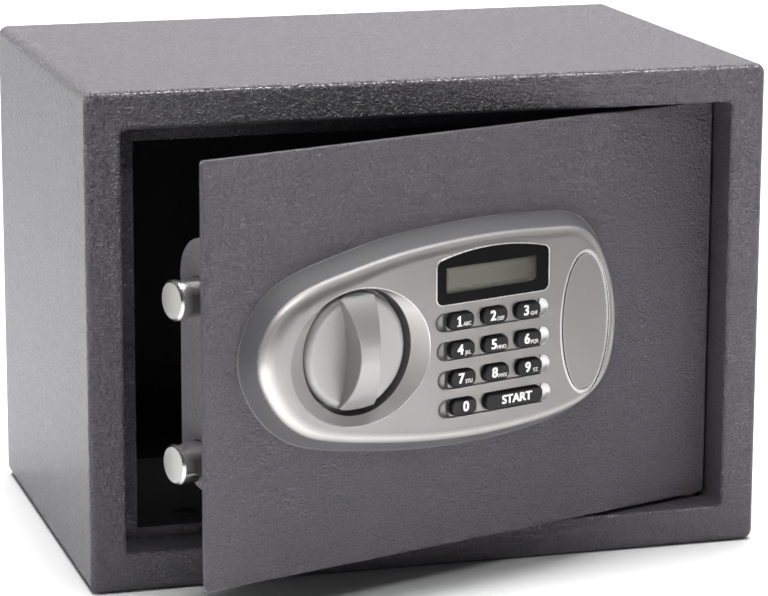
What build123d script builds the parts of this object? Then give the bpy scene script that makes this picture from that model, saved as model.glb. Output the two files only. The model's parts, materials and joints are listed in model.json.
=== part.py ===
from build123d import *
import os
from math import sin, cos, radians, sqrt, hypot

os.makedirs("parts", exist_ok=True)

# Electronic safe deposit box, millimetres, +Z up, X to the right, Y to the rear.
# Origin: centre of the base footprint of the box body, on the face it stands on.

# ---------------------------------------------------------------- body sizes
W, D, H = 350.0, 230.0, 250.0        # outside width, depth, height of the box body
T = 2.0                              # body sheet
R_SIDE = 5.0                         # outside bend along the depth
R_FRONT = 3.0                        # outside bend round the front flange
OPEN_X = 157.0                       # half width of the door opening
OPEN_Z0, OPEN_Z1 = 19.5, 231.0       # bottom and top of the door opening
JAMB = 24.0                          # depth of the jamb behind the front face
STOP_T = 1.5                         # door stop strip thickness
STOP_L, STOP_T_W, STOP_B = 10.5, 9.7, 5.8   # width of the strip: left, top, bottom
STOP_XR = 136.0                      # right end of the top and bottom strips
YF = -D / 2                          # plane of the front face
YB = D / 2                           # rear edge of the wrap

# ---------------------------------------------------------------- door sizes
DOOR_XL, DOOR_XR = -152.6, 153.5      # free edge and hinge edge of the door plate
DOOR_Z0, DOOR_Z1 = 21.5, 228.5
DOOR_T = 3.0
DOOR_IN = 18.5                       # door face behind the front face when shut
AJAR = 18.5                          # door angle at rest, degrees
PIV_X, PIV_Y = 147.5, YF + 24.5      # hinge axis
YD = YF + DOOR_IN                    # plane of the door face when shut

# ---------------------------------------------------------------- lock sizes
KX, KZ = -75.0, 130.7                # knob axis on the door
KNOB_R = 29.0
CRANK_R = 16.0                       # crank pin radius
THROW = 16.0                         # bolt travel
KNOB_TURN = 60.0                     # knob angle for the whole throw
BOLT_R = 10.0
BOLT_V = 47.5                        # bolt axis behind the door face
BOLT_ZU, BOLT_ZL = 152.6, 71.4
BOLT_END = -141.3                    # end of a drawn-in bolt
LX, LZ = 62.3, 128.6                 # emergency lock axis
PX, PV = 24.0, 36.5                  # blocking pin axis
CA0, CA1 = 35.0, 38.0                # bolt carrier plate behind the door face

pivot = Axis((PIV_X, PIV_Y, 0), (0, 0, 1))


def bx(x0, x1, y0, y1, z0, z1):
    return Pos((x0 + x1) / 2, (y0 + y1) / 2, (z0 + z1) / 2) * Box(abs(x1 - x0), abs(y1 - y0), abs(z1 - z0))


def cx(r, x0, x1, y, z):
    return Pos((x0 + x1) / 2, y, z) * Rot(0, 90, 0) * Cylinder(r, abs(x1 - x0))


def cy(r, y0, y1, x, z):
    return Pos(x, (y0 + y1) / 2, z) * Rot(90, 0, 0) * Cylinder(r, abs(y1 - y0))


def cz(r, z0, z1, x, y):
    return Pos(x, y, (z0 + z1) / 2) * Cylinder(r, abs(z1 - z0))


def door(s):
    """Places a piece drawn on the shut door (x, depth behind the door face, z) at its rest pose."""
    return s.moved(Location((0, YD, 0))).rotate(pivot, AJAR)


def outline(points, y):
    """A closed smooth wire through x, z points, in the plane at depth y."""
    return Wire([Spline(*[(p[0], y, p[1]) for p in points], periodic=True)])


def slab(sk_xz, y0, y1):
    """Extrudes a sketch drawn in x, z between two depths y0 < y1."""
    f = Plane((0, y1, 0), x_dir=(1, 0, 0), z_dir=(0, -1, 0)) * sk_xz
    return extrude(f, amount=y1 - y0)


def offset_points(points, d):
    """Moves the points of a clockwise outline outwards by d."""
    n = len(points)
    out = []
    for i in range(n):
        a, b = points[i - 1], points[(i + 1) % n]
        tx, tz = b[0] - a[0], b[1] - a[1]
        k = hypot(tx, tz)
        out.append((points[i][0] - tz / k * d, points[i][1] + tx / k * d))
    return out


def save(s, name):
    export_step(s, "parts/" + name + ".step")


def group(items):
    return Compound(children=list(items))


# ================================================================ body
outer = bx(-W / 2, W / 2, YF, YB, 0, H)
outer = fillet(outer.edges().filter_by(Axis.Y), R_SIDE)
outer = fillet(outer.faces().sort_by(Axis.Y)[0].edges(), R_FRONT)
inner = bx(-W / 2 + T, W / 2 - T, YF + T, YB + 1, T, H - T)
inner = fillet(inner.edges().filter_by(Axis.Y), R_SIDE - T)
shell = outer - inner
jamb_out = bx(-OPEN_X - T, OPEN_X + T, YF + 1, YF + JAMB, OPEN_Z0 - T, OPEN_Z1 + T)
shell = shell + jamb_out
hole = bx(-OPEN_X, OPEN_X, YF - 1, YF + JAMB + 1, OPEN_Z0, OPEN_Z1)
hole = fillet(hole.edges().filter_by(Axis.Y), 3.0)
shell = shell - hole
rim = [e for e in shell.edges() if abs(e.center().Y - YF) < 0.01 and abs(e.center().X) < OPEN_X + 1
       and OPEN_Z0 - 1 < e.center().Z < OPEN_Z1 + 1]
shell = fillet(rim, 1.9)
# pin clearance in the jamb, anchor holes in the floor
for z0, z1 in ((OPEN_Z1 - 1, OPEN_Z1 + T + 1), (OPEN_Z0 - T - 1, OPEN_Z0 + 1)):
    shell = shell - bx(PIV_X - 5, PIV_X + 5, PIV_Y - 5, YF + JAMB + 2, z0, z1)
ANCHOR_R = 5.0
ANCHOR_X = 100.0
FLOOR_Y = 0.0
for x in (-ANCHOR_X, ANCHOR_X):
    shell = shell - cz(ANCHOR_R, -1, T + 1, x, FLOOR_Y)
save(shell, "body_shell")

back = bx(-W / 2 + T, W / 2 - T, YB - 4, YB - 2, T, H - T)
back = fillet(back.edges().filter_by(Axis.Y), R_SIDE - T)
save(back, "back_panel")

ys = YF + JAMB
stop = bx(-OPEN_X - T, STOP_XR, ys, ys + STOP_T, OPEN_Z0 - T, OPEN_Z1 + T)
stop = stop - bx(-OPEN_X + STOP_L, STOP_XR + 1, ys - 1, ys + STOP_T + 1, OPEN_Z0 + STOP_B, OPEN_Z1 - STOP_T_W)
save(stop, "door_stop_frame")

KEEP_Y = YD + BOLT_V - BOLT_R - 0.6   # rear face of the keeper flange
keeper = bx(-W / 2 + T, -OPEN_X + STOP_L, KEEP_Y - 2, KEEP_Y, 46, 178)
keeper = keeper + bx(-W / 2 + T, -W / 2 + 2 * T, KEEP_Y - 22, KEEP_Y, 46, 178)
keeper = fillet([e for e in keeper.edges().filter_by(Axis.Y) if e.center().X > -OPEN_X], 4.0)
save(keeper, "bolt_keeper")

PIN_R = 2.75
for name, z0, z1 in (("hinge_bracket_upper", OPEN_Z1 + T, OPEN_Z1 + T + 3), ("hinge_bracket_lower", OPEN_Z0 - T - 3, OPEN_Z0 - T)):
    b = bx(PIV_X - 14, PIV_X + 10, YF + 6, PIV_Y + 12, z0, z1)
    b = fillet(b.edges().filter_by(Axis.Z), 3.0)
    b = b - cz(PIN_R + 0.05, z0 - 1, z1 + 1, PIV_X, PIV_Y)
    save(b, name)

mat = bx(-W / 2 + T + 4, W / 2 - T - 4, YF + 8, YB - 6, T, T + 2)
mat = fillet(mat.edges().filter_by(Axis.Z), 4.0)
for x in (-ANCHOR_X, ANCHOR_X):
    mat = mat - cz(8.0, 1, T + 3, x, FLOOR_Y)
save(mat, "floor_mat")

# ================================================================ door plate and hinge
COVER_X0, COVER_X1, COVER_Z0, COVER_Z1 = -110.0, 112.0, 44.0, 206.0
COVER_V = 63.5
COVER_T = 1.5
cover_screw_at = [(-86, COVER_Z1 + 6), (88, COVER_Z1 + 6), (-86, COVER_Z0 - 6), (88, COVER_Z0 - 6)]
esc_screw_at = [(-119.5, 130.7), (-36, 166.5), (-36, 89), (48, 168), (48, 88)]
sol_screw_at = [(PX - 11, 182), (PX + 11, 182)]
BUSH_R = 8.0
SHAFT_R = 5.0

plate = bx(DOOR_XL, DOOR_XR, 0, DOOR_T, DOOR_Z0, DOOR_Z1)
plate = fillet(plate.edges().filter_by(Axis.Y), 2.0)
plate = fillet(plate.faces().sort_by(Axis.Y)[0].edges(), 0.6)
plate = plate - cy(BUSH_R, -1, DOOR_T + 1, KX, KZ)
plate = plate - cy(9.6, -1, DOOR_T + 1, LX, LZ)
plate = plate - cy(5.0, -1, DOOR_T + 1, 6, 150)
for x, z in esc_screw_at:
    plate = plate - cy(2.2, -1, DOOR_T + 1, x, z)
for x, z in cover_screw_at:
    plate = plate - cy(1.95, -1 + 2, DOOR_T + 1, x, z)
for x, z in sol_screw_at:
    plate = plate - cy(1.45, 1, DOOR_T + 1, x, z)
save(door(plate), "door_plate")

PV_PIN = PIV_Y - YD                   # hinge axis behind the door face
for name, z0, z1 in (("hinge_lug_upper", 204.0, 228.5), ("hinge_lug_lower", 21.5, 46.0)):
    lug = bx(PIV_X - 6.5, PIV_X + 4.5, DOOR_T, PV_PIN + 4.5, z0, z1)
    lug = fillet([e for e in lug.edges().filter_by(Axis.Z) if e.center().Y > DOOR_T + 1], 3.5)
    lug = lug - cz(PIN_R, z0 - 1, z1 + 1, PIV_X, PV_PIN)
    save(door(lug), name)
pins = [cz(PIN_R, 206, OPEN_Z1 + T + 3.5, PIV_X, PV_PIN), cz(PIN_R, OPEN_Z0 - T - 3.5, 44, PIV_X, PV_PIN)]
pins = [chamfer(p.edges().filter_by(GeomType.CIRCLE), 0.6) for p in pins]
save(door(group(pins)), "hinge_pins")
washers = [cz(5.2, 228.5, 230.6, PIV_X, PV_PIN) - cz(PIN_R, 220, 240, PIV_X, PV_PIN),
           cz(5.2, 19.9, 21.5, PIV_X, PV_PIN) - cz(PIN_R, 10, 30, PIV_X, PV_PIN)]
save(door(group(washers)), "hinge_washers")

# ================================================================ bolt bracket
BR_X0, BR_X1 = -126.7, -46.7
BR_Z0, BR_Z1, BR_V = 57.0, 182.0, 63.0
web = bx(BR_X0, BR_X1, DOOR_T, DOOR_T + 2, BR_Z0, BR_Z1)


def flange(x0, vmax, r):
    f = bx(x0, x0 + 2, DOOR_T, vmax, BR_Z0, BR_Z1)
    return fillet([e for e in f.edges().filter_by(Axis.X) if e.center().Y > DOOR_T + 5], r)


bracket = web + flange(BR_X0, BR_V, 20.0) + flange(BR_X1 - 2, 58.0, 12.0)
for z in (BOLT_ZU, BOLT_ZL):
    bracket = bracket - cx(BOLT_R + 0.3, BR_X0 - 1, BR_X0 + 3, BOLT_V, z)
    bracket = bracket - cx(6.3, BR_X1 - 3, BR_X1 + 1, BOLT_V, z)
bracket = bracket - bx(BR_X1 - 3, BR_X1 + 1, 33.5, 39.6, 148.5, 165.0)
bracket = bracket - cy(12.0, DOOR_T - 1, DOOR_T + 3, KX, KZ)
bracket = bracket - cy(5.0, DOOR_T - 1, DOOR_T + 3, *esc_screw_at[0])
save(door(bracket), "bolt_bracket")

# ================================================================ lock cover
cover = bx(COVER_X0, COVER_X1, DOOR_T, COVER_V, COVER_Z0, COVER_Z1)
cover = fillet(cover.edges().filter_by(Axis.Y), 5.0)
cover = fillet(cover.faces().sort_by(Axis.Y)[-1].edges(), 3.0)
cav = bx(COVER_X0 + COVER_T, COVER_X1 - COVER_T, DOOR_T - 1, COVER_V - COVER_T, COVER_Z0 + COVER_T, COVER_Z1 - COVER_T)
cav = fillet(cav.edges().filter_by(Axis.Y), 3.5)
cover = cover - cav
for x, z in cover_screw_at:
    s = 1 if z > 100 else -1
    zc = COVER_Z1 if s > 0 else COVER_Z0
    tab = bx(x - 7, x + 7, DOOR_T, DOOR_T + COVER_T, zc - s * 1.0, zc + s * 12)
    tab = fillet([e for e in tab.edges().filter_by(Axis.Y) if abs(e.center().Z - zc) > 5], 5.0)
    cover = cover + tab
    cover = cover - cy(2.3, DOOR_T - 1, DOOR_T + 3, x, z)
for z in (BOLT_ZU, BOLT_ZL):
    cover = cover - cx(BOLT_R + 0.9, COVER_X0 - 1, COVER_X0 + 5, BOLT_V, z)
cover = cover - bx(COVER_X0 - 1, COVER_X0 + 6, DOOR_T - 1, DOOR_T + 2.3, BR_Z0 - 0.5, BR_Z1 + 0.5)
cover = cover - bx(COVER_X0 - 1, COVER_X0 + 4, CA0 - 2.6, CA1 + 0.8, 59.5, 164.0)
BAT_X0, BAT_X1, BAT_Z0, BAT_Z1 = 18.0, 82.0, 58.0, 118.0
cover = cover - bx(BAT_X0 + 1.5, BAT_X1 - 1.5, COVER_V - 3, COVER_V + 1, BAT_Z0 + 1.5, BAT_Z1 - 1.5)
RBX, RBZ = 92.0, 186.0
cover = cover - cy(4.3, COVER_V - 3, COVER_V + 1, RBX, RBZ)
save(door(cover), "mechanism_cover")


def pan_screw(x, z, v_head, length, r, head_r, head_h, out=1):
    """Pan head screw along the depth; the head is on the +out side of v_head."""
    s = cy(r, v_head - out * length, v_head, x, z) + cy(head_r, v_head, v_head + out * head_h, x, z)
    s = s - bx(x - head_r + 1.0, x + head_r - 1.0, v_head + out * (head_h - 0.9), v_head + out * (head_h + 1), z - 0.4, z + 0.4)
    s = s - bx(x - 0.4, x + 0.4, v_head + out * (head_h - 0.9), v_head + out * (head_h + 1), z - head_r + 1.0, z + head_r - 1.0)
    return s


save(door(group([pan_screw(x, z, DOOR_T + COVER_T, 3.4, 1.9, 3.6, 1.7) for x, z in cover_screw_at])), "cover_screws")

# ================================================================ escutcheon
ESC_H = 13.0
face_pts = [(-129.6, 130), (-125.8, 145), (-117.5, 156), (-104, 163.8), (-82, 169.8), (-52, 175.6), (-20, 178.7),
            (15, 179.6), (45, 178.2), (61.5, 175.6), (71, 168.4), (78.5, 155.5), (83.2, 140), (84.6, 125), (83, 110.5),
            (78, 97), (68, 87.6), (52, 81.8), (25, 78.4), (-5, 77.4), (-35, 79), (-65, 82.8), (-88, 87),
            (-104, 92.4), (-116.5, 102), (-125.2, 114.5)]
ROUND_L, ROUND_T, ROUND_R, ROUND_B = 11.0, 6.6, 6.0, 7.4   # width of the rounded edge: left, top, right, bottom
SKIRT_H = 8.4


def edge_width(p):
    """Width of the rounded edge at a point of the outline."""
    dx, dz = (p[0] + 22.5) / 107.0, (p[1] - 128.5) / 51.0
    k = dx * dx + dz * dz
    a = ROUND_R if dx > 0 else ROUND_L
    b = ROUND_T if dz > 0 else ROUND_B
    return (a * dx * dx + b * dz * dz) / k


def inset_by(points, f):
    """Moves each point of a clockwise outline inwards by f times the local width of the rounded edge."""
    n = len(points)
    out = []
    for i in range(n):
        a, b = points[i - 1], points[(i + 1) % n]
        tx, tz = b[0] - a[0], b[1] - a[1]
        k = hypot(tx, tz)
        d = edge_width(points[i]) * f
        out.append((points[i][0] + tz / k * d, points[i][1] - tx / k * d))
    return out


esc_base = offset_points(face_pts, 5.0)
skirt = loft([Face(outline(esc_base, 0)), Face(outline(face_pts, -SKIRT_H))], ruled=True)
phi0 = 16.0
sections = []
for phi in (16.0, 34.0, 52.0, 71.0, 90.0):
    f = 1 - cos(radians(phi)) / cos(radians(phi0))
    g = (sin(radians(phi)) - sin(radians(phi0))) / (1 - sin(radians(phi0)))
    sections.append(Face(outline(inset_by(face_pts, f), -(SKIRT_H + (ESC_H - SKIRT_H) * g))))
crown = loft(sections)
esc_out = skirt + crown
cav_base = offset_points(face_pts, 2.6)
cav_top = offset_points(face_pts, -3.2)
esc_cav = loft([Face(outline(cav_base, 1)), Face(outline(cav_top, -(SKIRT_H - 0.4)))], ruled=True)
esc_cav = esc_cav + loft([Face(outline(offset_points(face_pts, -7.5), -(SKIRT_H - 0.5))), Face(outline(offset_points(face_pts, -12.0), -(ESC_H - 2)))], ruled=True)

DISH_X, DISH_Z, DISH_A, DISH_B = -72.8, 127.6, 40.2, 33.4


def ell(cx_, cz_, a, b, y):
    pl = Plane((cx_, y, cz_), x_dir=(1, 0, 0), z_dir=(0, -1, 0))
    return pl * Ellipse(a, b) if abs(a - b) > 1e-6 else pl * Circle(a)


WELL_X, WELL_Z, WELL_R, WELL_H = KX + 1.7, KZ - 0.8, 31.2, 10.2   # well of the knob, at the foot of the dish
dish_cut = loft([ell(DISH_X, DISH_Z, DISH_A, DISH_B, -ESC_H), ell(WELL_X, WELL_Z, WELL_R, WELL_R - 0.01, -WELL_H)], ruled=True)
dish_cut = dish_cut + loft([ell(WELL_X, WELL_Z, WELL_R, WELL_R - 0.01, -WELL_H), ell(WELL_X, WELL_Z, WELL_R, WELL_R - 0.01, -1.2)], ruled=True)
dish_cut = dish_cut + loft([ell(DISH_X, DISH_Z, DISH_A, DISH_B, -ESC_H - 1), ell(DISH_X, DISH_Z, DISH_A, DISH_B, -ESC_H)], ruled=True)
dish_wall = loft([ell(DISH_X, DISH_Z, DISH_A + 2.0, DISH_B + 1.6, -ESC_H), ell(WELL_X, WELL_Z, WELL_R + 2.0, WELL_R + 1.99, -WELL_H + 2)], ruled=True)
dish_wall = dish_wall + cy(WELL_R + 1.8, -WELL_H + 2, 0, WELL_X, WELL_Z)
OV_A, OV_B, OV_Z = 15.3, 36.6, LZ - 1.4   # recess of the lock cover
OV_GAP, OV_LEDGE = 1.5, 3.0
pocket_wall = loft([ell(LX, OV_Z, OV_A + 1.6, OV_B + 1.6, -ESC_H), ell(LX, OV_Z, OV_A + 1.6, OV_B + 1.6, -2.4)], ruled=True)
bosses = [cy(4.0, -ESC_H + 1, 0, x, z) for x, z in esc_screw_at]
keep = dish_wall + pocket_wall
for b in bosses:
    keep = keep + b
keep = keep & esc_out
esc = esc_out - (esc_cav - keep)
esc = esc - dish_cut
rim = [e for e in esc.edges().filter_by(GeomType.ELLIPSE) if abs(e.center().Y + ESC_H) < 0.02]
esc = fillet(rim, 0.7)
esc = esc - cy(10.6, -3, 1, KX, KZ)
# oval recess for the cover, then the deeper pocket over the emergency lock
esc = esc - loft([ell(LX, OV_Z, OV_A, OV_B, -ESC_H - 1), ell(LX, OV_Z, OV_A, OV_B, -ESC_H + 2.2)], ruled=True)
esc = esc - loft([ell(LX, OV_Z, OV_A - OV_LEDGE, OV_B - OV_LEDGE, -ESC_H), ell(LX, OV_Z, OV_A - OV_LEDGE, OV_B - OV_LEDGE, -4.0)], ruled=True)
esc = esc - cy(9.8, -5, 1, LX, LZ)
for x, z in esc_screw_at:
    esc = esc - cy(1.6, -ESC_H + 3, 1, x, z)

KEY_W, KEY_H, KEY_R = 15.0, 8.0, 3.4
KEY_DX, KEY_DZ, KEY_SLANT = 20.3, 14.43, 0.65
K1X, K1Z = -14.6, 138.2
rows = [["1", "2", "3"], ["4", "5", "6"], ["7", "8", "9"]]
keys = {}
for r, row in enumerate(rows):
    for c, k in enumerate(row):
        keys["key_" + k] = (K1X + c * KEY_DX + r * KEY_SLANT, K1Z - r * KEY_DZ, KEY_W)
keys["key_0"] = (K1X + 3 * KEY_SLANT, K1Z - 3 * KEY_DZ, KEY_W)
START_W = 35.2
keys["key_start"] = (K1X + 3 * KEY_SLANT + 1.5 * KEY_DX, K1Z - 3 * KEY_DZ, START_W)


def pill(cx_, cz_, w, h, r, y0, y1):
    p = bx(cx_ - w / 2, cx_ + w / 2, y0, y1, cz_ - h / 2, cz_ + h / 2)
    return fillet(p.edges().filter_by(Axis.Y), r)


GROOVE_W, GROOVE_H, GROOVE_D = 69.0, 9.8, 1.2
for r in range(4):
    gx = K1X + KEY_DX + r * KEY_SLANT
    gz = K1Z - r * KEY_DZ
    esc = esc - pill(gx - 0.9, gz, GROOVE_W, GROOVE_H, GROOVE_H / 2 - 0.05, -ESC_H - 1, -ESC_H + GROOVE_D)
for x, z, w in keys.values():
    esc = esc - pill(x, z, w + 0.6, KEY_H + 0.6, KEY_R + 0.3, -ESC_H - 1, -8)

def lcd_outline(d):
    """Outline of the display lens grown by d: straight sides, arched top, small corners."""
    x0, x1, z0 = -28.6 - d, 38.8 + d, 147.1 - d
    zl, zr, zt = 168.0 + d, 168.6 + d, 172.9 + d
    b = Polyline((x0, zl), (x0, z0), (x1, z0), (x1, zr))
    t = ThreePointArc((x1, zr), ((x0 + x1) / 2, zt), (x0, zl))
    s = make_face(Wire([*b.edges(), *t.edges()]))
    return fillet(s.vertices(), 3.2 + d)


esc = esc - slab(lcd_outline(0.1), -ESC_H - 1, -ESC_H + 3)
esc = esc - slab(lcd_outline(1.6), -ESC_H + 2, -4.0)
save(door(esc), "escutcheon")
save(door(group([pan_screw(x, z, DOOR_T, 9.5, 1.6, 3.6, 2.2) for x, z in esc_screw_at])), "escutcheon_screws")

lens = slab(lcd_outline(0.0), -ESC_H - 0.2, -ESC_H + 2.0) + slab(lcd_outline(1.4), -ESC_H + 2.0, -ESC_H + 3.0)
save(door(lens), "display_lens")
save(door(bx(-26, 36, -9.9, -4.6, 149.5, 168.5)), "display_module")
pcb = bx(-30.5, 42.5, -4.6, -3.0, 87, 173)
pcb = fillet(pcb.edges().filter_by(Axis.Y), 2.0)
save(door(pcb), "keypad_pcb")
kmat = bx(-28.5, 41.5, -6.2, -4.6, 88.5, 144.5)
kmat = fillet(kmat.edges().filter_by(Axis.Y), 2.0)
save(door(kmat), "keypad_mat")

for name, (x, z, w) in keys.items():
    k = pill(x, z, w, KEY_H, KEY_R, -ESC_H - 1.7, -8.6)
    k = fillet(k.faces().sort_by(Axis.Y)[0].edges(), 1.0)
    k = k + pill(x, z, w + 1.6, KEY_H + 1.6, KEY_R + 0.8, -9.3, -7.8)
    save(door(k), name)

# oval cover with a pry notch at its foot
oc = loft([ell(LX, OV_Z, OV_A - OV_GAP, OV_B - OV_GAP, -ESC_H - 0.1), ell(LX, OV_Z, OV_A - OV_GAP, OV_B - OV_GAP, -ESC_H + 2.1)], ruled=True)
oc = oc - bx(LX - 2.6, LX + 2.6, -ESC_H - 2, -ESC_H + 1.4, OV_Z - OV_B, OV_Z - OV_B + OV_GAP + 1.3)
for s in (-1, 1):
    oc = oc + bx(LX - 3, LX + 3, -ESC_H + 2.1, -ESC_H + 6.0, OV_Z + s * (OV_B - 5.8) - 1, OV_Z + s * (OV_B - 5.8) + 1)
save(door(oc), "oval_cover")

# ================================================================ knob, shaft, crank
TOP = 12.3
kn = cy(KNOB_R, -TOP, -1.8, KX, KZ)
kn = fillet(kn.faces().sort_by(Axis.Y)[0].edges(), 4.0)
RIB_TOP = 24.6
blank = bx(KX - 18, KX + 18, -RIB_TOP - 1, -2, KZ - 34, KZ + 34)
waist = 5.7
RS = (27.0 ** 2 + 4.6 ** 2) / (2 * 4.6)
for s in (-1, 1):
    blank = blank - cy(RS, -RIB_TOP - 2, -1, KX + s * (waist + RS), KZ)
sag = RIB_TOP - TOP
RC = (27.5 ** 2 + sag ** 2) / (2 * sag)
arch = cx(RC, KX - 30, KX + 30, -(RIB_TOP - RC), KZ)
rib = blank & arch
crest = [e for e in rib.edges() if e.length > 55 and e.center().Y < -TOP - 4]
rib = fillet(crest, 0.8)
rib = rib & cy(KNOB_R - 0.4, -RIB_TOP - 1, -TOP + 3.4, KX, KZ)
kn = kn + rib
kn = kn + cy(10.0, -2.0, -1.4, KX, KZ)
kn = kn - cy(SHAFT_R, -9.0, 1, KX, KZ)
save(door(kn), "knob")

bush = cy(BUSH_R, -1.0, DOOR_T + 5, KX, KZ) + cy(11.0, DOOR_T, DOOR_T + 2, KX, KZ)
bush = bush - cy(SHAFT_R + 0.05, -2, DOOR_T + 6, KX, KZ)
save(door(bush), "knob_bush")

CR0, CR1 = 27.0, 30.0
shaft = cy(SHAFT_R, -9.0, CR0, KX, KZ) + cy(4.0, CR0, CR1, KX, KZ)
shaft = shaft - cy(1.6, CR1 - 9, CR1 + 1, KX, KZ)
save(door(shaft), "knob_shaft")
pin_x, pin_z = KX + CRANK_R * sin(radians(KNOB_TURN / 2)), KZ + CRANK_R * cos(radians(KNOB_TURN / 2))
arm = cy(9.0, CR0, CR1, KX, KZ) + cy(6.0, CR0, CR1, pin_x, pin_z)
arm = arm + Pos((KX + pin_x) / 2, (CR0 + CR1) / 2, (KZ + pin_z) / 2) * Rot(0, KNOB_TURN / 2, 0) * Box(12.0, CR1 - CR0, CRANK_R)
arm = arm - cy(4.0, CR0 - 1, CR1 + 1, KX, KZ) - cy(3.0, CR0 - 1, CR1 + 1, pin_x, pin_z)
save(door(arm), "crank_plate")
save(door(cy(3.0, CR0, CA1 - 0.5, pin_x, pin_z)), "crank_pin")
save(door(pan_screw(KX, KZ, CR1, 8.0, 1.6, 5.4, 2.2)), "crank_screw")

# ================================================================ bolt carriage
carr = bx(-107.5, -58, CA0, CA1, 60.5, 163)
carr = carr + bx(-60, 48, CA0, CA1, 152, 163)
carr = carr - bx(-100, -82, CA0 - 1, CA1 + 1, 88, 136)
carr = carr - cy(9.5, CA0 - 1, CA1 + 1, KX, 104)
pin_z1 = KZ + CRANK_R
carr = carr - bx(pin_x - 3.5, pin_x + 3.5, CA0 - 1, CA1 + 1, pin_z - 3.8, pin_z1 + 3.8)
for x in (PX, PX + THROW):
    carr = carr - bx(x - 3.5, x + 3.5, CA0 - 1, CA1 + 1, 157.5, 164)
bolt_screw_at = [(x, z) for z in (BOLT_ZU, BOLT_ZL) for x in (-102.0, -88.0)]
for x, z in bolt_screw_at:
    carr = carr - cy(2.0, CA0 - 1, CA1 + 1, x, z)
save(door(carr), "bolt_carrier")
for name, z in (("locking_bolt_upper", BOLT_ZU), ("locking_bolt_lower", BOLT_ZL)):
    b = cx(BOLT_R, BOLT_END, -62, BOLT_V, z)
    b = chamfer(b.edges().filter_by(GeomType.CIRCLE).sort_by(Axis.X)[0], 1.2)
    b = b + cx(6.0, -62, -24, BOLT_V, z)
    b = b - bx(-112, -60, BOLT_V - BOLT_R - 1, CA1, z - 11, z + 11)
    for x, zz in bolt_screw_at:
        if zz == z:
            b = b - cy(1.9, CA1 - 1, CA1 + 7.5, x, z)
    save(door(b), name)
save(door(group([pan_screw(x, z, CA0, 9.5, 1.9, 3.4, 2.0, out=-1) for x, z in bolt_screw_at])), "bolt_screws")

# ================================================================ solenoid and blocking pin
SZ0, SZ1 = 168.5, 196.0
sol = bx(PX - 15, PX + 15, DOOR_T, DOOR_T + 2, SZ0 - 2, SZ1 + 2)
sol = sol + bx(PX - 8, PX + 8, DOOR_T, PV + 10.5, SZ1, SZ1 + 2) + bx(PX - 8, PX + 8, DOOR_T, PV + 10.5, SZ0 - 2, SZ0)
sol = sol - cz(3.5, SZ0 - 3, SZ0 + 1, PX, PV)
for x, z in sol_screw_at:
    sol = sol - cy(1.6, DOOR_T - 1, DOOR_T + 3, x, z)
save(door(sol), "solenoid_frame")
coil = cz(10.0, SZ0, SZ1, PX, PV) - cz(3.5, SZ0 - 1, SZ1 - 1.0, PX, PV)
save(door(coil), "solenoid_coil")
save(door(group([pan_screw(x, z, DOOR_T + 2, 3.8, 1.4, 2.7, 1.7) for x, z in sol_screw_at])), "solenoid_screws")
pl = cz(3.0, 164.2, 180.0, PX, PV)
pl = chamfer(pl.edges().filter_by(GeomType.CIRCLE), 0.5)
save(door(pl), "solenoid_plunger")
helix = Helix(pitch=1.9, height=13.6, radius=2.3)
spring = sweep(Plane(origin=helix @ 0, z_dir=helix % 0) * Circle(0.3), path=helix, is_frenet=True)
spring = Pos(PX, PV, 180.6) * spring
save(door(spring), "plunger_spring")

# ================================================================ emergency lock
hsg = cy(9.5, -6.0, 20.0, LX, LZ) + cy(12.5, -2.0, 0, LX, LZ)
hsg = hsg - cy(6.05, -7, 21, LX, LZ)
save(door(hsg), "emergency_lock_body")
nut = slab(Pos(LX, LZ) * RegularPolygon(13.0, 6), DOOR_T, DOOR_T + 4) - cy(9.5, DOOR_T - 1, DOOR_T + 5, LX, LZ)
save(door(nut), "emergency_lock_nut")
barrel = cy(6.0, -6.0, 20.4, LX, LZ) + bx(LX - 3, LX + 3, 20.0, 23.0, LZ - 3, LZ + 3)
barrel = barrel - bx(LX - 0.6, LX + 0.6, -7, 14, LZ - 3.6, LZ + 3.6)
barrel = barrel - cy(1.3, 15.5, 24, LX, LZ)
save(door(barrel), "emergency_barrel")
cam = bx(LX - 6, LX + 6, 20.6, 22.6, LZ - 20, LZ) + cy(8.0, 20.6, 22.6, LX, LZ) + cy(6.0, 20.6, 22.6, LX, LZ - 20)
cam = cam - bx(LX - 3, LX + 3, 20, 23.5, LZ - 3, LZ + 3)
save(door(cam), "emergency_cam")
save(door(pan_screw(LX, LZ, 23.0, 6.0, 1.3, 4.6, 1.8)), "emergency_cam_screw")

# ================================================================ batteries, battery cover, reset button
BV0, BV1 = 43.0, COVER_V - COVER_T
hold = bx(BAT_X0, BAT_X1, BV0, BV1, BAT_Z0, BAT_Z1)
hold = hold - bx(BAT_X0 + 1.5, BAT_X1 - 1.5, BV0 + 1.5, BV1 + 1, BAT_Z0 + 1.5, BAT_Z1 - 1.5)
save(door(hold), "battery_holder")
cells = []
for i in range(4):
    x = BAT_X0 + 1.5 + 7.4 + i * 15.2
    c = cz(7.1, BAT_Z0 + 3.2, BAT_Z0 + 52.2, x, BV0 + 8.8) + cz(2.7, BAT_Z0 + 52.2, BAT_Z0 + 53.5, x, BV0 + 8.8)
    cells.append(c)
save(door(group(cells)), "battery_cells")
bc = bx(BAT_X0 + 1.8, BAT_X1 - 1.8, COVER_V - COVER_T, COVER_V, BAT_Z0 + 1.8, BAT_Z1 - 1.8)
for i in range(5):
    bc = bc + bx(40, 60, COVER_V, COVER_V + 0.8, 68 + i * 3.0, 69.4 + i * 3.0)
save(door(bc), "battery_cover")
sw = bx(RBX - 6.5, RBX + 6.5, 48, 58.5, RBZ - 6.5, RBZ + 6.5) - cy(2.3, 53, 60, RBX, RBZ)
sw = sw + bx(RBX - 3, RBX + 3, DOOR_T, 48, RBZ - 3, RBZ + 3)
save(door(sw), "reset_switch")
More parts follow.
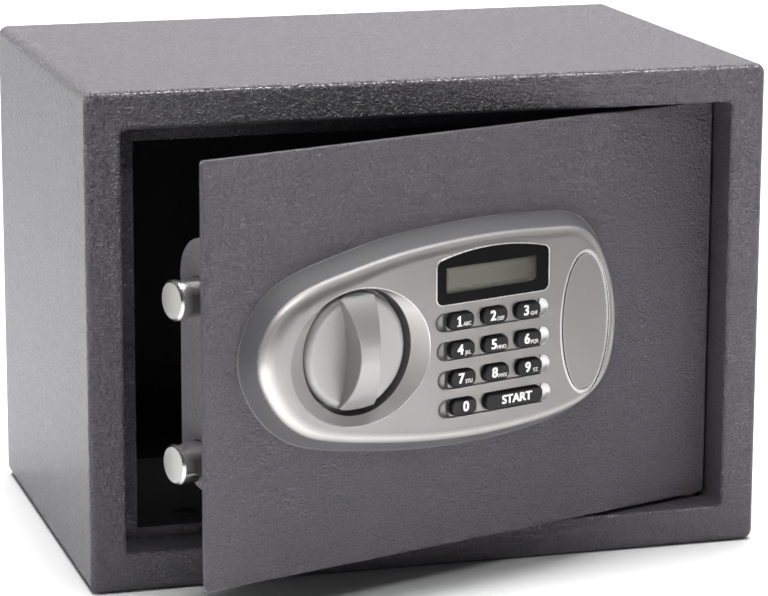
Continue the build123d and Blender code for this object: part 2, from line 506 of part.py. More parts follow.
rb = cy(4.0, 59.8, COVER_V + 1.5, RBX, RBZ) + cy(2.0, 55.0, 60.0, RBX, RBZ)
save(door(rb), "reset_button")
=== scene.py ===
import bpy
import bmesh
import json
import math
import random
from mathutils import Matrix, Vector


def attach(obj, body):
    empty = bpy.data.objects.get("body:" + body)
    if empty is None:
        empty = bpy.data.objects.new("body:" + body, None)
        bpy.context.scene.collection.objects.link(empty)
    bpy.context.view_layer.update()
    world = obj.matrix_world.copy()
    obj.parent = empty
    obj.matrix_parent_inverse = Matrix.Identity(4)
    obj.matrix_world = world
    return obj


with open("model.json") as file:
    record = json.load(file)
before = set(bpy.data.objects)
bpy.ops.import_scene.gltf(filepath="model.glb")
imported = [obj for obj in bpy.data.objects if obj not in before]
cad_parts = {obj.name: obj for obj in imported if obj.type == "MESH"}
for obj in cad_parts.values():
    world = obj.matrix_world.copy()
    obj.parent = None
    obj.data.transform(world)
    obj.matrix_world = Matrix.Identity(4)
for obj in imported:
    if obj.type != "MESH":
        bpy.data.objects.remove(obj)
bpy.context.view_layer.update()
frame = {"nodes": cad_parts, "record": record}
N = frame["nodes"]

# ------------------------------------------------------------------ camera
sc = bpy.context.scene
sc.view_settings.view_transform = "Standard"
sc.view_settings.look = "None"
cam_data = bpy.data.cameras.new("cam")
cam = bpy.data.objects.new("cam", cam_data)
sc.collection.objects.link(cam)
right = Vector((0.9590918, -0.2830728, 0.0035636))
up = Vector((0.0596368, 0.2143317, 0.9749387))
back = Vector((-0.2767424, -0.9348432, 0.2224453))
m = Matrix((right, up, back)).transposed().to_4x4()
m.translation = Vector((-0.480127, -1.650318, 0.506285))
cam.matrix_world = m
cam_data.sensor_fit = "HORIZONTAL"
cam_data.sensor_width = 36.0
cam_data.lens = 155.563
cam_data.clip_start = 0.05
cam_data.clip_end = 40.0
sc.camera = cam


# ------------------------------------------------------------------ node helpers
def new_mat(name):
    mt = bpy.data.materials.new(name)
    mt.use_nodes = True
    nt = mt.node_tree
    bs = nt.nodes["Principled BSDF"]
    return mt, nt, bs


def tex_coord(nt):
    return nt.nodes.new("ShaderNodeTexCoord").outputs["Object"]


def noise(nt, co, scale, detail=3.0, rough=0.5, dist=0.0):
    n = nt.nodes.new("ShaderNodeTexNoise")
    n.inputs["Scale"].default_value = scale
    n.inputs["Detail"].default_value = detail
    n.inputs["Roughness"].default_value = rough
    n.inputs["Distortion"].default_value = dist
    nt.links.new(co, n.inputs["Vector"])
    return n


def ramp(nt, fac, stops):
    r = nt.nodes.new("ShaderNodeValToRGB")
    while len(r.color_ramp.elements) < len(stops):
        r.color_ramp.elements.new(0.5)
    for e, (p, c) in zip(r.color_ramp.elements, stops):
        e.position = p
        e.color = c if len(c) == 4 else (*c, 1.0)
    nt.links.new(fac, r.inputs["Fac"])
    return r.outputs["Color"]


def maprange(nt, val, a, b, c, d):
    r = nt.nodes.new("ShaderNodeMapRange")
    r.inputs["From Min"].default_value = a
    r.inputs["From Max"].default_value = b
    r.inputs["To Min"].default_value = c
    r.inputs["To Max"].default_value = d
    nt.links.new(val, r.inputs["Value"])
    return r.outputs["Result"]


def math_node(nt, op, a, b=None):
    r = nt.nodes.new("ShaderNodeMath")
    r.operation = op
    for i, v in enumerate((a, b)):
        if v is None:
            continue
        if isinstance(v, (int, float)):
            r.inputs[i].default_value = v
        else:
            nt.links.new(v, r.inputs[i])
    return r.outputs[0]


def mix_col(nt, fac, a, b):
    r = nt.nodes.new("ShaderNodeMix")
    r.data_type = "RGBA"
    for sock, v in ((r.inputs[0], fac), (r.inputs[6], a), (r.inputs[7], b)):
        if isinstance(v, (int, float)):
            sock.default_value = v
        elif isinstance(v, tuple):
            sock.default_value = v if len(v) == 4 else (*v, 1.0)
        else:
            nt.links.new(v, sock)
    return r.outputs[2]


def bump(nt, bs, height, strength, dist, prev=None):
    b = nt.nodes.new("ShaderNodeBump")
    b.inputs["Strength"].default_value = strength
    b.inputs["Distance"].default_value = dist
    nt.links.new(height, b.inputs["Height"])
    if prev is not None:
        nt.links.new(prev, b.inputs["Normal"])
    nt.links.new(b.outputs["Normal"], bs.inputs["Normal"])
    return b.outputs["Normal"]


# ------------------------------------------------------------------ materials
def powder_coat(name, col, shade_col=None, shade_mask=None, rough=0.42, peel=0.9, coat=0.5, light_grade=0.0):
    """Powder coat: pebbled orange-peel skin, faint cloudiness, a painted light grade (paler foot, darker top), and a
    painted dark shade where the shade mask says.
    """
    mt, nt, bs = new_mat(name)
    co = tex_coord(nt)
    cloud = noise(nt, co, 14.0, 4.0, 0.6)
    fine = noise(nt, co, 1300.0, 2.0, 0.5)
    peel_n = noise(nt, co, 430.0, 3.0, 0.6, 1.2)
    base = mix_col(nt, maprange(nt, cloud.outputs["Fac"], 0.3, 0.7, 0.0, 1.0), tuple(c * 0.94 for c in col), tuple(c * 1.05 for c in col))
    base = mix_col(nt, maprange(nt, peel_n.outputs["Fac"], 0.35, 0.65, 0.0, 0.6), tuple(c * 0.74 for c in col), base)
    base = mix_col(nt, maprange(nt, fine.outputs["Fac"], 0.4, 0.7, 0.0, 0.35), base, tuple(min(1, c * 1.6) for c in col))
    if shade_mask:
        sep = nt.nodes.new("ShaderNodeSeparateXYZ")
        nt.links.new(co, sep.inputs[0])
        f = shade_mask(nt, sep)
        base = mix_col(nt, f, base, shade_col)
    # painted light: the coat is graded paler towards the foot and darker towards the top
    if light_grade:
        sep_z = nt.nodes.new("ShaderNodeSeparateXYZ")
        nt.links.new(co, sep_z.inputs[0])
        sc_ = nt.nodes.new("ShaderNodeVectorMath")
        sc_.operation = "SCALE"
        nt.links.new(base, sc_.inputs[0])
        nt.links.new(maprange(nt, sep_z.outputs["Z"], 0.02, 0.24, light_grade, 2.0 - light_grade), sc_.inputs["Scale"])
        base = sc_.outputs[0]
    nt.links.new(base, bs.inputs["Base Color"])
    nt.links.new(maprange(nt, fine.outputs["Fac"], 0.3, 0.7, rough - 0.08, rough + 0.08), bs.inputs["Roughness"])
    bs.inputs["Specular IOR Level"].default_value = 0.3
    bs.inputs["Coat Weight"].default_value = coat
    bs.inputs["Coat Roughness"].default_value = 0.11
    nrm = bump(nt, bs, peel_n.outputs["Fac"], peel, 0.0050)
    nt.links.new(nrm, bs.inputs["Coat Normal"])
    return mt


def inside_shade_mask(nt, sep):
    """1 on the inner faces of the wrap, behind the jamb, where the dark colour is painted as shade."""
    ax = math_node(nt, "ABSOLUTE", sep.outputs["X"])
    in_x = math_node(nt, "LESS_THAN", ax, 0.17325)
    in_z0 = math_node(nt, "GREATER_THAN", sep.outputs["Z"], 0.00175)
    in_z1 = math_node(nt, "LESS_THAN", sep.outputs["Z"], 0.24825)
    in_y = math_node(nt, "GREATER_THAN", sep.outputs["Y"], -0.11325)
    a = math_node(nt, "MULTIPLY", math_node(nt, "MULTIPLY", in_x, in_z0), math_node(nt, "MULTIPLY", in_z1, in_y))
    # the jamb itself keeps the outside coat
    jx = math_node(nt, "GREATER_THAN", ax, 0.1595)
    jz0 = math_node(nt, "LESS_THAN", sep.outputs["Z"], 0.0170)
    jz1 = math_node(nt, "GREATER_THAN", sep.outputs["Z"], 0.2335)
    jy = math_node(nt, "GREATER_THAN", sep.outputs["Y"], -0.0905)
    b = math_node(nt, "MAXIMUM", math_node(nt, "MAXIMUM", jx, jz0), math_node(nt, "MAXIMUM", jz1, jy))
    return math_node(nt, "MULTIPLY", a, b)


CASE = (0.103, 0.0955, 0.1145)
# painted shade: this dark colour is laid on the inner faces, the inner parts and the door's back, where only shade
# falls
SHADE_DARK = (0.055, 0.051, 0.060)
M = {}
M["case_paint"] = powder_coat("case_paint", CASE, SHADE_DARK, inside_shade_mask, light_grade=1.08)
M["case_dark"] = powder_coat("case_dark", SHADE_DARK, rough=0.6, peel=0.4, coat=0.0)


def door_back_shade_mask(nt, sep):
    """1 on the rear face of the door, where the dark colour is painted as shade."""
    nrm = nt.nodes.new("ShaderNodeTexCoord").outputs["Normal"]
    dot = nt.nodes.new("ShaderNodeVectorMath")
    dot.operation = "DOT_PRODUCT"
    dot.inputs[1].default_value = (-0.3173, 0.9483, 0.0)
    nt.links.new(nrm, dot.inputs[0])
    return math_node(nt, "GREATER_THAN", dot.outputs["Value"], 0.8)


M["door_paint"] = powder_coat("door_paint", CASE, SHADE_DARK, door_back_shade_mask, light_grade=1.15)
M["bracket_paint"] = powder_coat("bracket_paint", (0.215, 0.207, 0.221), peel=0.3, coat=0.0)


def satin(name, col, rough=0.33, metallic=0.75, wall_shade=None):
    """Metallic silver coat on a moulding: fine flake, slight cloudiness, a painted highlight on the rolled edges, and a
    painted shade (a darker, less metallic coat) on steep walls.
    """
    mt, nt, bs = new_mat(name)
    tc = nt.nodes.new("ShaderNodeTexCoord")
    co = tc.outputs["Object"]
    fl = noise(nt, co, 3800.0, 1.0, 0.5)
    cl = noise(nt, co, 30.0, 3.0, 0.5)
    base = mix_col(nt, maprange(nt, fl.outputs["Fac"], 0.35, 0.65, 0.0, 1.0), tuple(c * 0.95 for c in col), tuple(c * 1.05 for c in col))
    base = mix_col(nt, maprange(nt, cl.outputs["Fac"], 0.3, 0.7, 0.0, 0.35), base, tuple(c * 0.93 for c in col))
    if wall_shade:
        # painted highlight: rounded edges that turn away from the face are coloured much paler than the face
        rolled_highlight = tuple(min(1.0, c * 3.4) for c in col)
        dot = nt.nodes.new("ShaderNodeVectorMath")
        dot.operation = "DOT_PRODUCT"
        dot.inputs[1].default_value = (0.3173, -0.9483, 0.0)
        nt.links.new(tc.outputs["Normal"], dot.inputs[0])
        # inside the knob's dish the painted edge highlight is milder (2.3 times the base colour instead of 3.4)
        along = nt.nodes.new("ShaderNodeVectorMath")
        along.operation = "DOT_PRODUCT"
        along.inputs[1].default_value = (0.9483, 0.3173, 0.0)
        nt.links.new(co, along.inputs[0])
        sp = nt.nodes.new("ShaderNodeSeparateXYZ")
        nt.links.new(co, sp.inputs[0])
        ex = math_node(nt, "DIVIDE", math_node(nt, "ADD", along.outputs["Value"], 0.10914), 0.0402)
        ez = math_node(nt, "DIVIDE", math_node(nt, "SUBTRACT", sp.outputs["Z"], 0.1276), 0.0334)
        e2 = math_node(nt, "ADD", math_node(nt, "MULTIPLY", ex, ex), math_node(nt, "MULTIPLY", ez, ez))
        rolled_highlight = mix_col(nt, maprange(nt, e2, 0.97, 1.03, 0.0, 1.0), tuple(c * 2.3 for c in col), rolled_highlight)
        base = mix_col(nt, maprange(nt, dot.outputs["Value"], 0.90, 0.992, 0.0, 1.0), rolled_highlight, base)
        # painted shade: steep walls take the dark wall colour
        flat = maprange(nt, dot.outputs["Value"], 0.55, 0.78, 0.0, 1.0)
        base = mix_col(nt, flat, wall_shade, base)
        nt.links.new(math_node(nt, "MULTIPLY", flat, metallic), bs.inputs["Metallic"])
        rg = math_node(nt, "ADD", maprange(nt, fl.outputs["Fac"], 0.3, 0.7, rough - 0.03, rough + 0.04), maprange(nt, flat, 0.0, 1.0, 0.22, 0.0))
        rg = math_node(nt, "ADD", rg, maprange(nt, e2, 0.97, 1.03, 0.17, 0.0))
        bs.inputs["Specular IOR Level"].default_value = 0.3
    else:
        bs.inputs["Metallic"].default_value = metallic
        rg = maprange(nt, fl.outputs["Fac"], 0.3, 0.7, rough - 0.03, rough + 0.04)
    nt.links.new(base, bs.inputs["Base Color"])
    nt.links.new(rg, bs.inputs["Roughness"])
    bump(nt, bs, fl.outputs["Fac"], 0.05, 0.00005)
    return mt


M["escutcheon_satin"] = satin("escutcheon_satin", (0.172, 0.165, 0.160), wall_shade=(0.098, 0.095, 0.103))
M["knob_satin"] = satin("knob_satin", (0.33, 0.323, 0.32), rough=0.52)


def brushed(name, col, rough=0.35, axis="X", metallic=1.0, scratch=0.15):
    mt, nt, bs = new_mat(name)
    co = tex_coord(nt)
    mp = nt.nodes.new("ShaderNodeMapping")
    s = {"X": (60, 3000, 3000), "Y": (3000, 60, 3000), "Z": (3000, 3000, 60)}[axis]
    mp.inputs["Scale"].default_value = s
    nt.links.new(co, mp.inputs["Vector"])
    sn = noise(nt, mp.outputs["Vector"], 1.0, 3.0, 0.6)
    cl = noise(nt, co, 60.0, 3.0, 0.5)
    base = mix_col(nt, maprange(nt, sn.outputs["Fac"], 0.3, 0.7, 0.0, 1.0), tuple(c * 0.92 for c in col), tuple(min(1, c * 1.06) for c in col))
    base = mix_col(nt, maprange(nt, cl.outputs["Fac"], 0.3, 0.7, 0.0, 0.3), base, tuple(c * 0.85 for c in col))
    nt.links.new(base, bs.inputs["Base Color"])
    bs.inputs["Metallic"].default_value = metallic
    nt.links.new(maprange(nt, sn.outputs["Fac"], 0.3, 0.7, rough - 0.06, rough + 0.1), bs.inputs["Roughness"])
    bump(nt, bs, sn.outputs["Fac"], scratch, 0.00003)
    return mt


M["plain_steel"] = brushed("plain_steel", (0.62, 0.62, 0.63), 0.34, "X")
M["spring_steel"] = brushed("spring_steel", (0.55, 0.55, 0.56), 0.25, "Z")
M["brass"] = brushed("brass", (0.20, 0.165, 0.11), 0.45, "Z")


def chrome(name, col):
    """Polished plating with softly turned end faces and a painted dark reflection along the flanks."""
    mt, nt, bs = new_mat(name)
    tc = nt.nodes.new("ShaderNodeTexCoord")
    dot = nt.nodes.new("ShaderNodeVectorMath")
    dot.operation = "DOT_PRODUCT"
    dot.inputs[1].default_value = (-0.9483, -0.3173, 0.0)
    nt.links.new(tc.outputs["Normal"], dot.inputs[0])
    end = maprange(nt, dot.outputs["Value"], 0.55, 0.9, 0.0, 1.0)
    cl = noise(nt, tc.outputs["Object"], 350.0, 4.0, 0.6)
    fine = noise(nt, tc.outputs["Object"], 2200.0, 2.0, 0.5)
    base = mix_col(nt, maprange(nt, cl.outputs["Fac"], 0.3, 0.7, 0.0, 1.0), tuple(c * 0.93 for c in col), col)
    base = mix_col(nt, end, base, tuple(c * 0.66 for c in col))
    # painted reflection: the flanks are darkened back from the tip, standing in for the dark door back mirrored in the
    # plating
    pos = nt.nodes.new("ShaderNodeVectorMath")
    pos.operation = "DOT_PRODUCT"
    pos.inputs[1].default_value = (0.9483, 0.3173, 0.0)
    nt.links.new(tc.outputs["Object"], pos.inputs[0])
    back = maprange(nt, pos.outputs["Value"], -0.1758, -0.1712, 0.0, 1.0)
    sp = nt.nodes.new("ShaderNodeSeparateXYZ")
    nt.links.new(tc.outputs["Normal"], sp.inputs[0])
    band = math_node(nt, "MULTIPLY", maprange(nt, sp.outputs["Z"], 0.72, 0.35, 0.0, 1.0), maprange(nt, sp.outputs["Z"], -0.85, -0.5, 0.0, 1.0))
    painted_reflection = math_node(nt, "MULTIPLY", math_node(nt, "MULTIPLY", back, band), 0.85)
    base = mix_col(nt, painted_reflection, base, tuple(c * 0.16 for c in col))
    nt.links.new(base, bs.inputs["Base Color"])
    bs.inputs["Metallic"].default_value = 1.0
    r0 = maprange(nt, fine.outputs["Fac"], 0.3, 0.7, 0.03, 0.06)
    tip = math_node(nt, "MULTIPLY", math_node(nt, "SUBTRACT", 1.0, back), 0.22)
    r = math_node(nt, "ADD", r0, math_node(nt, "MAXIMUM", math_node(nt, "MULTIPLY", end, 0.33), tip))
    nt.links.new(r, bs.inputs["Roughness"])
    bump(nt, bs, cl.outputs["Fac"], 0.12, 0.0002)
    return mt


M["bolt_chrome"] = chrome("bolt_chrome", (0.86, 0.855, 0.83))


def plastic(name, col, rough=0.5, grain=0.15, scale=2500.0, coat=0.0):
    mt, nt, bs = new_mat(name)
    co = tex_coord(nt)
    g = noise(nt, co, scale, 2.0, 0.5)
    cl = noise(nt, co, 40.0, 3.0, 0.5)
    base = mix_col(nt, maprange(nt, cl.outputs["Fac"], 0.3, 0.7, 0.0, 1.0), tuple(c * 0.9 for c in col), tuple(min(1, c * 1.12) for c in col))
    nt.links.new(base, bs.inputs["Base Color"])
    nt.links.new(maprange(nt, g.outputs["Fac"], 0.3, 0.7, rough - 0.05, rough + 0.08), bs.inputs["Roughness"])
    bs.inputs["Coat Weight"].default_value = coat
    bs.inputs["Coat Roughness"].default_value = 0.05
    bump(nt, bs, g.outputs["Fac"], grain, 0.00008)
    return mt


M["cover_plastic"] = plastic("cover_plastic", (0.02, 0.02, 0.022), 0.5, 0.3, 1800.0)
M["coil_wrap"] = plastic("coil_wrap", (0.012, 0.012, 0.014), 0.35, 0.1, 900.0)
M["cell_sleeve"] = plastic("cell_sleeve", (0.04, 0.045, 0.06), 0.25, 0.05)
M["button_red"] = plastic("button_red", (0.5, 0.03, 0.02), 0.3, 0.05)
M["key_rubber"] = plastic("key_rubber", (0.009, 0.008, 0.009), 0.30, 0.35, 1500.0)
M["key_rubber"].node_tree.nodes["Principled BSDF"].inputs["Specular IOR Level"].default_value = 0.14
M["mat_rubber"] = plastic("mat_rubber", (0.03, 0.03, 0.03), 0.7, 0.2)
M["board"] = plastic("board", (0.01, 0.10, 0.035), 0.35, 0.05, 900.0)
M["bezel_black"] = plastic("bezel_black", (0.0025, 0.002, 0.0025), 0.10, 0.01)
M["display_grey"] = plastic("display_grey", (0.10, 0.095, 0.085), 0.25, 0.02)

# felt
mt, nt, bs = new_mat("felt")
co = tex_coord(nt)
f1 = noise(nt, co, 1500.0, 4.0, 0.7, 1.5)
f2 = noise(nt, co, 60.0, 4.0, 0.6)
base = mix_col(nt, maprange(nt, f1.outputs["Fac"], 0.3, 0.7, 0.0, 1.0), (0.008, 0.008, 0.010), (0.035, 0.034, 0.038))
base = mix_col(nt, maprange(nt, f2.outputs["Fac"], 0.3, 0.7, 0.0, 0.5), base, (0.012, 0.012, 0.014))
nt.links.new(base, bs.inputs["Base Color"])
bs.inputs["Roughness"].default_value = 0.95
bs.inputs["Sheen Weight"].default_value = 0.25
bs.inputs["Sheen Roughness"].default_value = 0.6
bump(nt, bs, f1.outputs["Fac"], 0.8, 0.0006)
M["felt"] = mt

# display lens: black printed frame round a clear window
mt, nt, bs = new_mat("lens")
co = tex_coord(nt)
g = noise(nt, co, 50.0, 3.0, 0.5)
nt.links.new(mix_col(nt, g.outputs["Fac"], (0.0025, 0.0022, 0.0025), (0.005, 0.0045, 0.005)), bs.inputs["Base Color"])
nt.links.new(maprange(nt, g.outputs["Fac"], 0.3, 0.7, 0.08, 0.13), bs.inputs["Roughness"])
bs.inputs["Specular IOR Level"].default_value = 0.05
bump(nt, bs, g.outputs["Fac"], 0.01, 0.0001)
M["lens"] = mt

# pale studio floor
mt, nt, bs = new_mat("studio_floor")
bs.inputs["Base Color"].default_value = (0.88, 0.88, 0.88, 1)
bs.inputs["Roughness"].default_value = 0.9
M["floor"] = mt

node_slot = {s["node"]: s["material_slot"] for s in frame["record"]["subparts"]}
for name, ob in N.items():
    ob.data.materials.clear()
    ob.data.materials.append(M[node_slot[name]])
# the back panel and bolt keeper sit in the dark interior and take the painted shade colour
for name in ("back_panel", "bolt_keeper"):
    N[name].data.materials[0] = M["case_dark"]
N["bolt_bracket"].data.materials[0] = M["bracket_paint"]


# ------------------------------------------------------------------ door frame of reference
AJAR = math.radians(18.5)
PIV = Vector((0.1475, -0.0905, 0.0))
YD = -0.0965
DOOR = Matrix.Translation(PIV) @ Matrix.Rotation(AJAR, 4, "Z") @ Matrix.Translation(-PIV) @ Matrix.Translation(Vector((0, YD, 0)))


def dm(x, v, z):
    """Shut-door coordinates in mm (x, depth behind the door face, z) to the row frame in metres."""
    return DOOR @ Vector((x / 1000, v / 1000, z / 1000))


# ------------------------------------------------------------------ legends on the keys
M["legend"] = plastic("legend_white", (0.82, 0.82, 0.80), 0.45, 0.05)
M["legend_small"] = plastic("legend_grey", (0.60, 0.59, 0.58), 0.45, 0.05)
K1X, K1Z, DX, DZ, SL = -14.6, 138.2, 20.3, 14.43, 0.65
key_at = {}
for r, row in enumerate((("1", "2", "3"), ("4", "5", "6"), ("7", "8", "9"))):
    for c, k in enumerate(row):
        key_at[k] = (K1X + c * DX + r * SL, K1Z - r * DZ)
key_at["0"] = (K1X + 3 * SL, K1Z - 3 * DZ)
key_at["START"] = (K1X + 3 * SL + 1.5 * DX, K1Z - 3 * DZ)
letters = {"1": "ABC", "2": "DEF", "3": "GHI", "4": "JKL", "5": "MNO", "6": "PQR", "7": "STU", "8": "VWX", "9": "YZ"}
KEY_TOP = -14.7


def flat_to_door(x, v, z):
    """Matrix that stands a flat drawing (x right, y up) on the door at shut-door x, v, z in mm."""
    return DOOR @ Matrix.Translation(Vector((x / 1000, v / 1000, z / 1000))) @ Matrix.Rotation(math.radians(90), 4, "X")


def add_mesh(name, bm, mat, body, smooth=False):
    me = bpy.data.meshes.new(name)
    bm.normal_update()
    bm.to_mesh(me)
    bm.free()
    if smooth:
        for p in me.polygons:
            p.use_smooth = True
    me.materials.append(M[mat])
    ob = bpy.data.objects.new(name, me)
    sc.collection.objects.link(ob)
    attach(ob, body)
    return ob


def legend(name, s, x, z, size, body, bold=0.0, width=1.0, v=KEY_TOP, mat="legend"):
    """Raised print: the glyphs are laid down several times, each a little to the side, to make them bold."""
    cu = bpy.data.curves.new(name + "_src", "FONT")
    cu.body = s
    cu.size = size / 1000
    cu.extrude = 0.00004
    cu.resolution_u = 5
    cu.align_x = "CENTER"
    cu.align_y = "CENTER"
    tmp = bpy.data.objects.new(name + "_src", cu)
    sc.collection.objects.link(tmp)
    dg = bpy.context.evaluated_depsgraph_get()
    src = bpy.data.meshes.new_from_object(tmp.evaluated_get(dg))
    bpy.data.objects.remove(tmp)
    bm = bmesh.new()
    steps = [(0, 0)] if not bold else [(-1, -0.5), (-1, 0.5), (0, -0.7), (0, 0.7), (1, -0.5), (1, 0.5), (0, 0)]
    for i, (ax, az) in enumerate(steps):
        n0 = len(bm.verts)
        bm.from_mesh(src)
        bm.verts.ensure_lookup_table()
        for vt in bm.verts[n0:]:
            vt.co = Vector((vt.co.x * width + ax * bold / 1000, vt.co.y + az * bold / 1000, vt.co.z + i * 0.000006))
    bm.transform(flat_to_door(x, v - 0.03, z))
    bpy.data.meshes.remove(src)
    return add_mesh(name, bm, mat, body)


def plate(name, loops, v, x, z, mat, body, t=0.05):
    """Flat raised figure from closed outlines in mm, laid on the door at depth v."""
    bm = bmesh.new()
    for pts in loops:
        vs = [bm.verts.new((p[0] / 1000, p[1] / 1000, 0)) for p in pts]
        f = bm.faces.new(vs)
        if f.normal.z < 0:
            f.normal_flip()
        r = bmesh.ops.extrude_face_region(bm, geom=[f])
        top = [g for g in r["geom"] if isinstance(g, bmesh.types.BMVert)]
        bmesh.ops.translate(bm, verts=top, vec=(0, 0, t / 1000))
    bmesh.ops.recalc_face_normals(bm, faces=bm.faces)
    bm.transform(flat_to_door(x, v, z))
    return add_mesh(name, bm, mat, body)


for k, (x, z) in key_at.items():
    if k == "START":
        legend("legend_start", "START", x + 1.2, z, 6.0, "key_start_cap", 0.28, 1.04)
    elif k == "0":
        legend("legend_0", "0", x + 0.6, z, 7.0, "key_0_cap", 0.28)
    elif k == "1":
        one = [(-0.62, -2.62), (-1.5, -2.62), (-1.5, -1.9), (-0.62, -1.9), (-0.62, 1.25), (-1.45, 0.85), (-1.45, 1.65),
               (-0.30, 2.62), (0.62, 2.62), (0.62, -1.9), (1.45, -1.9), (1.45, -2.62), (0.62, -2.62)]
        plate("legend_1", [one], KEY_TOP - 0.02, x - 1.7, z, "legend", "key_1_cap")
        legend("letters_1", letters[k], x + 2.85, z - 1.65, 2.7, "key_1_cap", 0.09, 0.9, mat="legend_small")
    else:
        legend("legend_" + k, k, x - 1.7, z, 7.0, "key_%s_cap" % k, 0.28)
        legend("letters_" + k, letters[k], x + 2.85, z - 1.65, 2.7, "key_%s_cap" % k, 0.09, 0.9, mat="legend_small")


# ------------------------------------------------------------------ display window and edges with a painted highlight
def lcd_path(d, n=24):
    """Outline of the display lens grown by d, as points x, z in mm."""
    x0, x1, z0 = -28.6 - d, 38.8 + d, 147.1 - d
    zl, zr, zt = 168.0 + d, 168.6 + d, 172.9 + d
    xm = (x0 + x1) / 2
    # circle through the three top points
    ax, az, bx_, bz, cx_, cz = x0, zl, xm, zt, x1, zr
    dd = 2 * (ax * (bz - cz) + bx_ * (cz - az) + cx_ * (az - bz))
    ux = ((ax * ax + az * az) * (bz - cz) + (bx_ * bx_ + bz * bz) * (cz - az) + (cx_ * cx_ + cz * cz) * (az - bz)) / dd
    uz = ((ax * ax + az * az) * (cx_ - bx_) + (bx_ * bx_ + bz * bz) * (ax - cx_) + (cx_ * cx_ + cz * cz) * (bx_ - ax)) / dd
    rr = math.hypot(ax - ux, az - uz)
    r = 3.2 + d

    def corner(px, pz, a0, a1, k=7):
        return [(px + r * math.cos(math.radians(a0 + (a1 - a0) * i / k)), pz + r * math.sin(math.radians(a0 + (a1 - a0) * i / k))) for i in range(k + 1)]

    pts = corner(x0 + r, z0 + r, 180, 270) + corner(x1 - r, z0 + r, 270, 360)
    # rounded top corners, tangent to the side and to the arch
    for side in (1, -1):
        px = (x1 - r) if side > 0 else (x0 + r)
        pz = uz + math.sqrt((rr - r) ** 2 - (px - ux) ** 2)
        aend = math.degrees(math.atan2(pz - uz, px - ux))
        arc = corner(px, pz, 0, aend) if side > 0 else corner(px, pz, aend, 180)
        if side > 0:
            pts += arc
            a_r = aend
        else:
            a_l = aend
            pts += [(ux + rr * math.cos(math.radians(a_r + (a_l - a_r) * i / n)), uz + rr * math.sin(math.radians(a_r + (a_l - a_r) * i / n))) for i in range(1, n)]
            pts += arc
    return pts


def bead(name, pts, radius, mat, body, closed=True, taper=None):
    """A thin rounded edge along points x, v, z of the shut door, in mm."""
    cu = bpy.data.curves.new(name, "CURVE")
    cu.dimensions = "3D"
    cu.bevel_depth = radius / 1000
    cu.bevel_resolution = 3
    cu.use_fill_caps = True
    sp = cu.splines.new("POLY")
    sp.points.add(len(pts) - 1)
    for i, p in enumerate(pts):
        w_ = dm(*p)
        sp.points[i].co = (w_.x, w_.y, w_.z, 1)
        sp.points[i].radius = taper(i / (len(pts) - 1)) if taper else 1.0
    sp.use_cyclic_u = closed
    cu.materials.append(M[mat])
    ob = bpy.data.objects.new(name, cu)
    sc.collection.objects.link(ob)
    for spl in cu.splines:
        spl.use_smooth = True
    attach(ob, body)
    return ob


ESC_H = 13.0
# the pale colour of these edge beads is a painted highlight, far brighter than the satin they edge
M["edge_highlight_bright"] = satin("edge_highlight_bright", (0.62, 0.61, 0.60), rough=0.26, metallic=0.85)
M["edge_highlight_soft"] = satin("edge_highlight_soft", (0.52, 0.51, 0.50), rough=0.28, metallic=0.8)
bead("lens_rim", [(x, -ESC_H + 0.10, z) for x, z in lcd_path(0.38)], 0.34, "edge_highlight_bright", "door")

LX, LZ, OV_A, OV_B = 62.3, 127.2, 15.3, 36.6


def ellipse(cx_, cz, a, b, v, n=120):
    return [(cx_ + a * math.cos(2 * math.pi * i / n), v, cz + b * math.sin(2 * math.pi * i / n)) for i in range(n)]




def annulus(name, cx_, cz, a0, b0, a1, b1, v, t, mat, body, n=120):
    """Flat ring between two ellipses with its front face at depth v and thickness t, in mm."""
    bm = bmesh.new()
    rings = []
    for a_, b_, v_ in ((a0, b0, v + t), (a0, b0, v), (a1, b1, v), (a1, b1, v + t)):
        rings.append([bm.verts.new(dm(cx_ + a_ * math.cos(2 * math.pi * i / n), v_, cz + b_ * math.sin(2 * math.pi * i / n))) for i in range(n)])
    for j in range(4):
        r0, r1 = rings[j], rings[(j + 1) % 4]
        for i in range(n):
            bm.faces.new((r0[i], r0[(i + 1) % n], r1[(i + 1) % n], r1[i]))
    bmesh.ops.recalc_face_normals(bm, faces=bm.faces)
    return add_mesh(name, bm, mat, body)


annulus("oval_seat", LX, LZ, OV_A - 1.32, OV_B - 1.32, OV_A - 0.02, OV_B - 0.02, -ESC_H + 0.55, 0.7, "edge_highlight_soft", "door")
bead("oval_recess_edge", ellipse(LX, LZ, OV_A + 0.22, OV_B + 0.22, -ESC_H + 0.14), 0.24, "edge_highlight_soft", "door")
bead("oval_cover_edge", ellipse(LX, LZ, OV_A - 1.8, OV_B - 1.8, -ESC_H + 0.10), 0.22, "edge_highlight_soft", "lock_cover")

# rounded foot of the escutcheon on the door
FACE_PTS = [(-129.6, 130), (-125.8, 145), (-117.5, 156), (-104, 163.8), (-82, 169.8), (-52, 175.6), (-20, 178.7),
            (15, 179.6), (45, 178.2), (61.5, 175.6), (71, 168.4), (78.5, 155.5), (83.2, 140), (84.6, 125), (83, 110.5),
            (78, 97), (68, 87.6), (52, 81.8), (25, 78.4), (-5, 77.4), (-35, 79), (-65, 82.8), (-88, 87),
            (-104, 92.4), (-116.5, 102), (-125.2, 114.5)]


def grown(points, d):
    n = len(points)
    out = []
    for i in range(n):
        (ax, az), (bx_, bz) = points[i - 1], points[(i + 1) % n]
        tx, tz = bx_ - ax, bz - az
        k = math.hypot(tx, tz)
        out.append((points[i][0] - tz / k * d, points[i][1] + tx / k * d))
    return out


